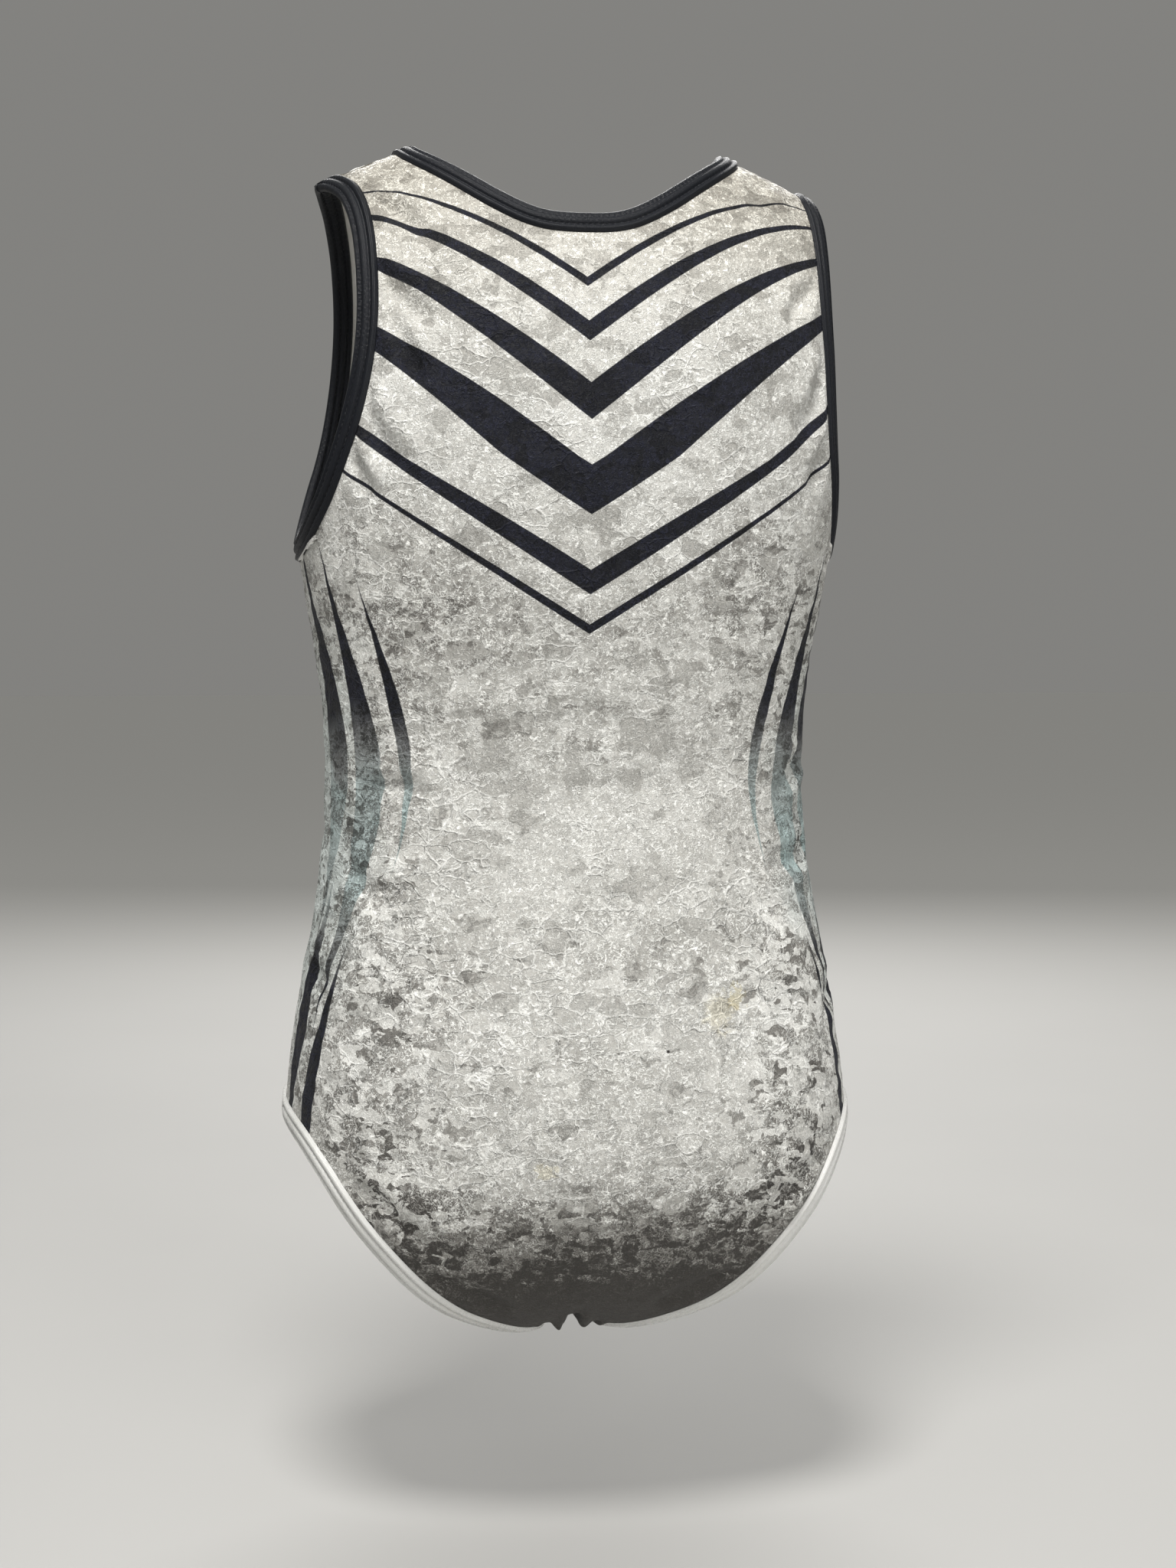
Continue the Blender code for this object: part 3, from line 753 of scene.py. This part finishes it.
def blendColour(tree, factor, first, second, kind="MIX"):
    first, second = ((*c, 1.0) if isinstance(c, tuple) else c for c in (first, second))
    sockets = {0: factor, 6: first, 7: second}
    return put(tree, "ShaderNodeMix", sockets, data_type="RGBA", blend_type=kind).outputs[2]


def tinted(tree, factor, colour, tint):
    return blendColour(tree, factor, colour, blendColour(tree, 1.0, colour, tint, "MULTIPLY"))


def noiseNode(tree, vector, scale, detail=3.0, rough=0.55, distortion=0.0, output="Fac"):
    sockets = {"Vector": vector, "Scale": scale, "Detail": detail, "Roughness": rough, "Distortion": distortion}
    return put(tree, "ShaderNodeTexNoise", sockets).outputs[output]


def ramp(tree, value, stops):
    node = put(tree, "ShaderNodeValToRGB", {"Fac": value})
    points = node.color_ramp.elements
    while len(points) < len(stops):
        points.new(0.5)
    for point, (place, colour) in zip(points, stops):
        point.position = place
        point.color = (*colour, 1.0)
    return node.outputs["Color"]


def bumped(tree, height, strength, distance):
    sockets = {"Height": height, "Strength": strength, "Distance": distance}
    return put(tree, "ShaderNodeBump", sockets).outputs["Normal"]


def objectSpot(tree):
    return put(tree, "ShaderNodeTexCoord").outputs["Object"]


def markOf(tree, name, output="Vector"):
    return put(tree, "ShaderNodeAttribute", attribute_name=name).outputs[output]


def markParts(tree, name):
    return tuple(put(tree, "ShaderNodeSeparateXYZ", {"Vector": markOf(tree, name)}).outputs)


def startMaterial(name, sheen=0.0, sheenRoughness=0.5, specular=0.5):
    material = bpy.data.materials.new(name)
    material.use_nodes = True
    shader = material.node_tree.nodes["Principled BSDF"]
    feed(material.node_tree, shader, {"Sheen Weight": sheen, "Sheen Roughness": sheenRoughness,
                                      "Specular IOR Level": specular})
    return material.node_tree, shader


# A group that is given a vector and one number, and gives numbers back
def startGroup(name, dial, value, results):
    tree = bpy.data.node_groups.new(name, "ShaderNodeTree")
    tree.interface.new_socket(name="Vector", in_out="INPUT", socket_type="NodeSocketVector")
    tree.interface.new_socket(name=dial, in_out="INPUT", socket_type="NodeSocketFloat").default_value = value
    for result in results:
        tree.interface.new_socket(name=result, in_out="OUTPUT", socket_type="NodeSocketFloat")
    given = tree.nodes.new("NodeGroupInput").outputs
    return tree, given["Vector"], given[dial], tree.nodes.new("NodeGroupOutput")


def useGroup(tree, group, vector, **dials):
    return put(tree, "ShaderNodeGroup", {"Vector": vector, **dials}, node_tree=group).outputs


# Fine curled fibres: speckle for the colour and a height for the bump
def makeFibreGroup():
    tree, vector, scale, result = startGroup("fibreGrain", "Scale", 900.0, ("Speckle", "Height"))
    coarse = noiseNode(tree, vector, scale, 2.0, 0.6, 1.6)
    fine = noiseNode(tree, vector, times(tree, scale, 2.3), 2.0, 0.7, 0.8)
    speckle = add(tree, times(tree, coarse, 0.62), times(tree, fine, 0.38))
    feed(tree, result, {"Speckle": ease(tree, speckle, 0.34, 0.66), "Height": speckle})
    return tree


# Handling marks: slow dulling of the colour
def makeWearGroup():
    tree, vector, amount, result = startGroup("softWear", "Amount", 0.2, ("Dull",))
    slow = noiseNode(tree, vector, 14.0, 3.0, 0.6, 0.4)
    feed(tree, result, {"Dull": times(tree, ease(tree, slow, 0.42, 0.7), amount)})
    return tree


velvetLook = {
    "scaleStretch": (1.0, 1.0, 1.6),    # the crushed islands lie wider than they are high
    "tearScale": 105.0,
    "tear": (0.013, 0.013, 0.010),      # how far the facets' edges are torn aside
    "threads": ((370.0, 0.045), (520.0, 0.042)),    # scale and thinness of the curls
    "threadContrast": 0.8,
    "islandDepth": 0.40,
    "spikes": 0.62,    # under 1 the facets get long points
    "featherScale": 260.0,
    "fibreScale": 560.0,
    "bright": (0.89, 0.89, 0.855),
    "silver": (0.47, 0.463, 0.435),
    "shade": (0.21, 0.202, 0.186),
    "deep": (0.06, 0.056, 0.051),
    "facetScale": 88.0,
    "chipScale": 170.0,
    "ivory": (0.93, 0.895, 0.835),
    "navyDeep": (0.0018, 0.0022, 0.0042),
    "navySheen": (0.0125, 0.0142, 0.027),
    "ice": (0.56, 0.72, 0.75),
    "stain": (0.87, 0.79, 0.56),
    # nested chevrons on the yoke: lowest point, thickness, both in metres down the middle line
    "chevrons": ((0.068, 0.0035), (0.085, 0.007), (0.108, 0.012), (0.139, 0.020), (0.176, 0.010),
                 (0.195, 0.004)),
    "chevronRise": 0.62,
    # distance from the side seam, thickness, top and bottom, in metres
    "stripes": ((0.011, 0.017, 0.146, 0.335), (0.031, 0.014, 0.150, 0.372), (0.049, 0.006, 0.168, 0.300),
                (0.016, 0.015, 0.292, 0.436), (0.038, 0.010, 0.318, 0.462)),
    "bow": (0.262, 0.14, 0.010),    # level where the stripes bow out, reach up and down, amount
    "waist": 0.283,                 # level where the stripes wash out to ice blue
    # faint stains low on the back: middle (across, down), radius, strength, then one dark dot
    "stains": (((-0.053, 0.352), 0.0095, 0.4), ((-0.062, 0.346), 0.0045, 0.6), ((0.021, 0.412), 0.0045, 0.4)),
    "dot": (-0.030, 0.366),
}


# The printed bands, as a navy mask and an ice-blue wash, from the cloth's own measure
def printMasks(tree, across, down, fromSide, spot):
    wander = noiseNode(tree, spot, 36.0, 2.0, 0.5)
    width = unsigned(tree, across)
    level = add(tree, down, times(tree, width, velvetLook["chevronRise"]))
    narrowing = ease(tree, width, 0.0, 0.125, 1.0, 0.35)
    navy = None
    for apex, thick in velvetLook["chevrons"]:
        # each band narrows as it climbs away from the middle
        gap = unsigned(tree, minus(tree, level, apex))
        room = times(tree, narrowing, thick / 2)
        navy = larger(tree, navy, ease(tree, minus(tree, room, gap), -0.00015, 0.00025))
    # tapering stripes run down beside the side seam
    bowLevel, bowReach, bowAmount = velvetLook["bow"]
    fromBow = unsigned(tree, minus(tree, down, bowLevel))
    beside = minus(tree, fromSide, times(tree, ease(tree, fromBow, bowReach, 0.0), bowAmount))
    for centre, thick, top, bottom in velvetLook["stripes"]:
        fromMiddle = unsigned(tree, minus(tree, down, (top + bottom) / 2))
        room = ease(tree, fromMiddle, (bottom - top) / 2, 0.0, 0.0, thick / 2)
        gap = unsigned(tree, minus(tree, beside, centre))
        navy = larger(tree, navy, ease(tree, minus(tree, room, gap), -0.0002, 0.0003))
    # the stripes wash out to ice blue round the waist
    waist = unsigned(tree, minus(tree, down, velvetLook["waist"]))
    fade = ease(tree, add(tree, waist, times(tree, wander, 0.05)), 0.085, 0.035)
    nearSide = ease(tree, add(tree, fromSide, times(tree, wander, 0.06)), 0.085, 0.045)
    wash = times(tree, nearSide, ease(tree, waist, 0.115, 0.03))
    thin = times(tree, fade, ease(tree, wander, 0.3, 0.62, 0.62, 0.97))
    washed = times(tree, thin, ease(tree, down, 0.2, 0.215))
    ice = larger(tree, times(tree, wash, 0.42), times(tree, navy, washed))
    return times(tree, navy, minus(tree, 1.0, washed)), ice


def makeVelvet(fibre, wear):
    look = velvetLook
    tree, shader = startMaterial("crushedVelvet", sheen=0.03, sheenRoughness=0.4, specular=0.24)
    spot = objectSpot(tree)
    across, down, fromSide = markParts(tree, "clothPlace")
    # dullness with painted shade, which face, and how far the cloth faces up (used for painted shade)
    dullAndShade, facing, upward = markParts(tree, "clothShadeAndFacing")
    crush = markOf(tree, "clothCrush", "Fac")
    wide = put(tree, "ShaderNodeMapping", {"Vector": spot, "Scale": look["scaleStretch"]}).outputs["Vector"]
    broad = noiseNode(tree, wide, 16.0, 2.0, 0.5, 0.3)
    feather = noiseNode(tree, spot, look["featherScale"], 3.0, 0.6, 1.2)
    navy, ice = printMasks(tree, across, down, fromSide, spot)

    def lean(value, amount):
        return times(tree, minus(tree, value, 0.5), amount)

    def crushedCells(scale):
        sockets = {"Vector": torn, "Scale": scale, "Exponent": look["spikes"]}
        return put(tree, "ShaderNodeTexVoronoi", sockets, distance="MINKOWSKI").outputs["Color"]

    # crushed facets and smaller chips: each lies its own way, with torn edges
    jitter = noiseNode(tree, spot, look["tearScale"], 2.0, 0.5, output="Color")
    jitter = vectorCalc(tree, "MULTIPLY", {0: jitter, 1: look["tear"]})
    torn = vectorCalc(tree, "ADD", {0: wide, 1: jitter})
    facetLean, chipLean = crushedCells(look["facetScale"]), crushedCells(look["chipScale"])
    facet = put(tree, "ShaderNodeSeparateColor", {"Color": facetLean}).outputs["Red"]
    chip = put(tree, "ShaderNodeSeparateColor", {"Color": chipLean}).outputs["Green"]
    cells = add(tree, times(tree, facet, 0.45), times(tree, chip, 0.55))

    # painted shade under the seat: where the cloth faces down the colour is darkened, and the pile is smooth
    # there
    ragged = add(tree, upward, add(tree, lean(feather, 0.3), lean(cells, 0.5)))
    under = ease(tree, ragged, -0.53, -0.09, 0.66, 0.0)
    lively = times(tree, crush, ease(tree, under, 0.15, 0.6, 1.0, 0.25))
    # smooth grey islands where the pile is pressed flat, gathered in loose groups
    loose = add(tree, lean(broad, 0.4), lean(feather, 0.14), times(tree, crush, 0.2))
    island = ease(tree, add(tree, facet, loose), 0.84, 0.865)
    small = ease(tree, add(tree, chip, loose), 0.88, 0.905)
    island = larger(tree, island, times(tree, small, 0.8))
    island = times(tree, island, ease(tree, under, 0.1, 0.5, 1.0, 0.12))
    # threads of pile: thin curls, brighter than the gaps between them
    threads = None
    for scale, thin in look["threads"]:
        field = unsigned(tree, lean(noiseNode(tree, spot, scale, 2.0, 0.5, 0.8), 1.0))
        threads = larger(tree, threads, ease(tree, field, thin, 0.0))
    dullShadeStrength = ease(tree, add(tree, feather, lean(cells, 0.3)), 0.36, 0.6, 1.05, 0.55)
    body = add(tree, 1.0, lean(broad, 0.05))
    body = minus(tree, body, times(tree, island, look["islandDepth"]))
    # darker where the pile lies dull, and painted shade on the seat and flanks
    body = minus(tree, body, times(tree, dullAndShade, dullShadeStrength))
    # chips of crushed pile, bright or dull, most where it is badly crushed
    chips = ease(tree, add(tree, cells, lean(feather, 0.26)), 0.45, 0.53, -0.5, 0.55)
    body = add(tree, body, times(tree, chips, times(tree, lively, times(tree, crush, 0.42))))
    # the painted shade where the cloth faces down
    body = minus(tree, body, under, clamp=True)
    # thin bright crinkle lines along some edges of the facets: a painted highlight in the colour, and a raised
    # line in the bump
    edge = put(tree, "ShaderNodeTexVoronoi", {"Vector": torn, "Scale": look["facetScale"]},
               feature="DISTANCE_TO_EDGE").outputs["Distance"]
    broken = times(tree, noiseNode(tree, spot, 33.0, 2.0), ease(tree, crush, 0.1, 0.9, 0.9, 1.15))
    crinkleAndGlint = times(tree, ease(tree, edge, 0.07, 0.0), ease(tree, broken, 0.45, 0.57),
                 ease(tree, under, 0.1, 0.4, 1.0, 0.1))
    body = add(tree, body, times(tree, crinkleAndGlint, 0.22))
    flat = larger(tree, times(tree, island, 0.75), times(tree, under, 1.1))
    threadShow = times(tree, minus(tree, 1.0, flat), look["threadContrast"])
    pile = add(tree, body, times(tree, minus(tree, threads, 0.45), threadShow), clamp=True)

    colour = ramp(tree, pile, ((0.04, look["deep"]), (0.30, look["shade"]),
                               (0.58, look["silver"]), (0.86, look["bright"])))
    colour = tinted(tree, ease(tree, down, 0.115, -0.005), colour, look["ivory"])
    marks = useGroup(tree, wear, spot, Amount=0.16)
    colour = blendColour(tree, marks["Dull"], colour, (0.42, 0.41, 0.38), "MULTIPLY")
    chart = put(tree, "ShaderNodeCombineXYZ", {"X": across, "Y": down}).outputs[0]
    onBack = ease(tree, facing, -0.1, 0.1)
    rag = lean(feather, 0.02)
    for centre, size, strength in look["stains"]:
        away = vectorCalc(tree, "DISTANCE", {0: chart, 1: (*centre, 0.0)}, "Value")
        mark = times(tree, ease(tree, add(tree, away, rag), size, size * 0.4), strength, onBack)
        colour = tinted(tree, mark, colour, look["stain"])
    away = vectorCalc(tree, "DISTANCE", {0: chart, 1: (*look["dot"], 0.0)}, "Value")
    dot = times(tree, ease(tree, away, 0.0009, 0.0004), onBack)
    colour = blendColour(tree, dot, colour, (0.05, 0.045, 0.04))
    colour = tinted(tree, ice, colour, look["ice"])
    dark = ramp(tree, pile, ((0.5, look["navyDeep"]), (1.0, look["navySheen"])))
    colour = blendColour(tree, navy, colour, dark)
    gloss = ease(tree, pile, 0.3, 0.9, 0.66, 0.34)
    gloss = put(tree, "ShaderNodeMix", {0: navy, 2: gloss, 3: 0.62}, data_type="FLOAT").outputs[0]

    height = add(tree, times(tree, feather, 0.35), times(tree, threads, 0.30))
    height = minus(tree, height, times(tree, island, 0.35))
    grain = useGroup(tree, fibre, spot, Scale=look["fibreScale"])
    height = add(tree, height, times(tree, grain["Height"], 0.3), times(tree, crinkleAndGlint, 0.5),
                 times(tree, cells, lively, 0.5))
    leaning = bumped(tree, height, 0.8, 0.0016)
    # every facet and chip of crushed pile leans its own way, and so do the fibres
    fuzz = noiseNode(tree, spot, look["fibreScale"], 2.0, 0.5, 1.2, "Color")
    for source, amount in ((facetLean, times(tree, lively, 0.5)), (chipLean, times(tree, lively, 0.55)),
                           (fuzz, 0.9)):
        off = vectorCalc(tree, "SUBTRACT", {0: source, 1: (0.5, 0.5, 0.5)})
        leaning = vectorCalc(tree, "ADD", {0: leaning, 1: vectorCalc(tree, "SCALE", {0: off, "Scale": amount})})
    leaning = vectorCalc(tree, "NORMALIZE", {0: leaning})
    feed(tree, shader, {"Base Color": colour, "Roughness": gloss, "Normal": leaning})


# The knitted back of the velvet, seen inside
def makeKnitReverse(wear):
    tree, shader = startMaterial("knitReverse", sheen=0.1, specular=0.3)
    spot = objectSpot(tree)
    across, down, _ = markParts(tree, "clothPlace")
    loop = times(tree, weave(tree, across, 0.0011), weave(tree, down, 0.0009))
    marks = useGroup(tree, wear, spot, Amount=0.3)
    colour = blendColour(tree, ease(tree, loop, -1.0, 1.0), (0.66, 0.655, 0.63), (0.76, 0.755, 0.73))
    colour = blendColour(tree, marks["Dull"], colour, (0.6, 0.58, 0.52), "MULTIPLY")
    height = add(tree, loop, times(tree, noiseNode(tree, spot, 500.0, 2.0), 0.8))
    feed(tree, shader, {"Base Color": colour, "Roughness": 0.82, "Normal": bumped(tree, height, 0.35, 0.0003)})


# Stretch satin for the bindings: fine ribs across the strip, a soft gloss, lint on the dark one
def makeLycra(name, base, lit, fibre, wear, roughness, specular, lint):
    tree, shader = startMaterial(name, sheen=0.01, sheenRoughness=0.35, specular=specular)
    spot = objectSpot(tree)
    along, girth, _ = markParts(tree, "clothPlace")
    knit = add(tree, weave(tree, girth, 0.00052), times(tree, weave(tree, along, 0.0006), 0.6))
    knit = times(tree, knit, 0.5)
    grain = useGroup(tree, fibre, spot, Scale=700.0)
    marks = useGroup(tree, wear, spot, Amount=0.25)
    colour = blendColour(tree, ease(tree, knit, -0.8, 0.9), base, lit)
    colour = blendColour(tree, times(tree, grain["Speckle"], 0.3), colour, lit)
    colour = blendColour(tree, marks["Dull"], colour, (0.62, 0.6, 0.56), "MULTIPLY")
    fluff = ease(tree, noiseNode(tree, spot, 620.0, 3.0, 0.7, 2.5), 0.69, 0.74)
    colour = blendColour(tree, times(tree, fluff, lint), colour, (0.3, 0.3, 0.31))
    gloss = ease(tree, grain["Speckle"], 0.0, 1.0, roughness - 0.06, roughness + 0.1)
    height = add(tree, knit, times(tree, grain["Height"], 0.8))
    feed(tree, shader, {"Base Color": colour, "Roughness": gloss, "Normal": bumped(tree, height, 0.4, 0.00018)})


def makeThread(name, base, lit):
    tree, shader = startMaterial(name, sheen=0.2, specular=0.5)
    ply = noiseNode(tree, objectSpot(tree), 2600.0, 2.0, 0.6, 1.0)
    feed(tree, shader, {"Base Color": blendColour(tree, ease(tree, ply, 0.35, 0.65), base, lit),
                        "Roughness": ease(tree, ply, 0.3, 0.7, 0.42, 0.62),
                        "Normal": bumped(tree, ply, 0.5, 0.0001)})


fibreGroup = makeFibreGroup()
wearGroup = makeWearGroup()
makeVelvet(fibreGroup, wearGroup)
makeKnitReverse(wearGroup)
makeLycra("navyLycra", (0.0028, 0.0034, 0.0052), (0.0085, 0.0102, 0.0145), fibreGroup, wearGroup,
          roughness=0.42, specular=0.2, lint=0.08)
makeLycra("silverLycra", (0.58, 0.58, 0.56), (0.80, 0.80, 0.78), fibreGroup, wearGroup,
          roughness=0.3, specular=0.6, lint=0.0)
makeThread("navyThread", (0.003, 0.0035, 0.005), (0.013, 0.015, 0.022))
makeThread("silverThread", (0.5, 0.5, 0.48), (0.74, 0.74, 0.71))
print("materials made")

panelLines = linesFor(panels["steps"])
backPanel = makePanel("back", panelLines)
frontPanel = makePanel("front", panelLines)

bindingLines = linesFor(bindings["steps"])
navyStrip = ("navyLycra", "navyThread", "dark_binding")
silverStrip = ("silverLycra", "silverThread", "white_binding")
neckRun = (("back", "left", False), ("front", "left", True), ("front", "right", False), ("back", "right", True))
neckTrim = makeBinding("neck_binding_strip", "neck_binding", "neck", neckRun, *navyStrip)
otherTrim = []
for sideName in sides:
    ringRun = (("back", sideName, False), ("front", sideName, True))
    for edge, look in (("armhole", navyStrip), ("leg", silverStrip)):
        otherTrim += makeBinding(edge + "_binding_strip_" + sideName, edge + "_binding_" + sideName,
                                 edge, ringRun, *look)

studio = {
    "floorHeight": -0.568,
    "floorColour": (0.45, 0.446, 0.434),
    "farFloor": (0.57, 0.563, 0.54),
    "wall": (0.225, 0.222, 0.212),
    "ceiling": (0.46, 0.46, 0.45),
    "camera": (0.1493, 1.0056, -0.1997),
    "target": (-0.010, 0.0, -0.262),
    "lens": 53.7,
    # name, place, size, watts, colour
    "lights": (("ceiling", (0.25, 0.66, 1.15), 0.55, 24.0, (1.0, 0.985, 0.96)),
               ("cameraSide", (-0.6, 1.5, 0.15), 0.9, 11.0, (1.0, 0.99, 0.975)),
               ("leftFill", (1.5, 0.5, 0.1), 1.2, 1.2, (0.97, 0.985, 1.0)),
               ("frontFill", (-0.3, -1.5, 0.8), 1.2, 24.0, (1.0, 0.99, 0.98))),
}


def makeFloor():
    deselectAll()
    bpy.ops.mesh.primitive_plane_add(size=30.0, location=(0, 0, studio["floorHeight"]))
    floor = bpy.context.object
    floor.name = "floor"
    tree, shader = startMaterial("paleFloor", specular=0.2)
    spot = objectSpot(tree)
    near = studio["floorColour"]
    colour = blendColour(tree, noiseNode(tree, spot, 3.0, 3.0), near, tuple(0.94 * part for part in near))
    # farther off the light fades, so the floor is painted paler there as painted light, and meets the wall
    # without a band
    far = vectorCalc(tree, "LENGTH", {0: spot}, "Value")
    colour = blendColour(tree, ease(tree, far, 0.8, 3.0), colour, studio["farFloor"])
    feed(tree, shader, {"Base Color": colour, "Roughness": 0.85})
    floor.data.materials.append(bpy.data.materials["paleFloor"])


def aimAt(item, place):
    aim = Vector(studio["target"]) - Vector(place)
    item.rotation_euler = aim.to_track_quat("-Z", "Y").to_euler()


def makeLights():
    for name, place, size, watts, colour in studio["lights"]:
        deselectAll()
        bpy.ops.object.light_add(type="AREA", location=place)
        light = bpy.context.object
        light.name = name
        light.data.shape = "DISK"
        light.data.size = size
        light.data.energy = watts
        light.data.color = colour
        aimAt(light, place)
    world = bpy.data.worlds.new("studioWorld")
    world.use_nodes = True
    tree = world.node_tree
    around = put(tree, "ShaderNodeTexCoord").outputs["Generated"]
    height = put(tree, "ShaderNodeSeparateXYZ", {"Vector": around}).outputs["Z"]
    sky = blendColour(tree, ease(tree, height, 0.22, 0.85), studio["wall"], studio["ceiling"])
    tree.links.new(sky, tree.nodes["Background"].inputs["Color"])
    bpy.context.scene.world = world


def makeCamera():
    deselectAll()
    bpy.ops.object.camera_add(location=studio["camera"])
    camera = bpy.context.object
    aimAt(camera, studio["camera"])
    camera.data.lens = studio["lens"]
    camera.data.sensor_width = 36.0
    camera.data.clip_start = 0.05
    bpy.context.scene.camera = camera


makeFloor()
makeLights()
makeCamera()
bpy.context.scene.view_settings.view_transform = "Standard"
print("floor, lights and camera set")
